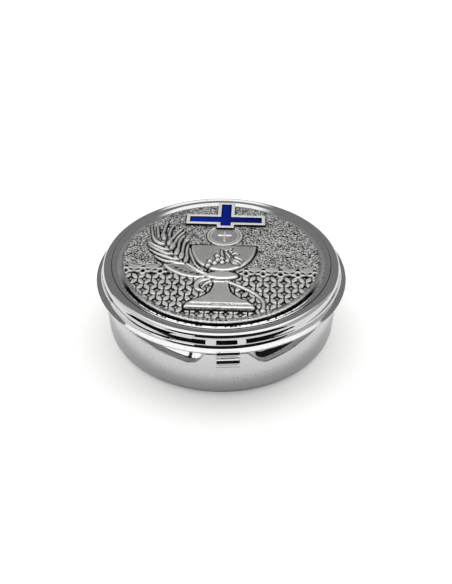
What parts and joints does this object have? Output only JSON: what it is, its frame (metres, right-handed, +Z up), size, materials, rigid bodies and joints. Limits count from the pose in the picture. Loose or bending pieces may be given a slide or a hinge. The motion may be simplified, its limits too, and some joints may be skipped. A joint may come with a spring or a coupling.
{
  "type": "viaticum box",
  "caption": "Round hinged pyx for carrying hosts: plated bowl with finger scoops, stepped lid with cast relief disc, enamel cross and thumb tab, gilt inside.",
  "frame": {"origin": "centre of the flat foot, on the surface that the box stands on", "axes": "+Z up through the lid, -Y towards the thumb tab, hinge at +Y with its pin along X"},
  "size_m": [0.06, 0.0615, 0.02],
  "materials": {
    "plated_bowl": "nickel-plated brass, mirror polished",
    "plated_lid": "nickel-plated brass, mirror polished",
    "plated_fittings": "nickel-plated brass, polished",
    "gilt": "gilt brass, satin",
    "antique_pewter": "cast white metal, blackened and relieved",
    "cross_nickel": "bright nickel",
    "blue_enamel": "translucent blue enamel, glossy"
  },
  "bodies": {
    "bowl": {"body_bowl": "plated_bowl", "body_liner": "gilt", "body_hinge_leaf": "plated_fittings", "hinge_pin": "plated_fittings"},
    "lid": {"lid_rim": "plated_lid", "lid_pan": "gilt", "lid_hinge_leaf": "plated_fittings", "thumb_tab": "plated_fittings", "relief_disc": "antique_pewter", "cross_frame": "cross_nickel", "cross_enamel": "blue_enamel"}
  },
  "joints": [
    {"name": "lid_hinge", "type": "hinge", "parent": "bowl", "child": "lid", "pos_m": [0, 0.0294, 0.01337], "axis": [-1, 0, 0], "range_deg": [0, 105]}
  ]
}
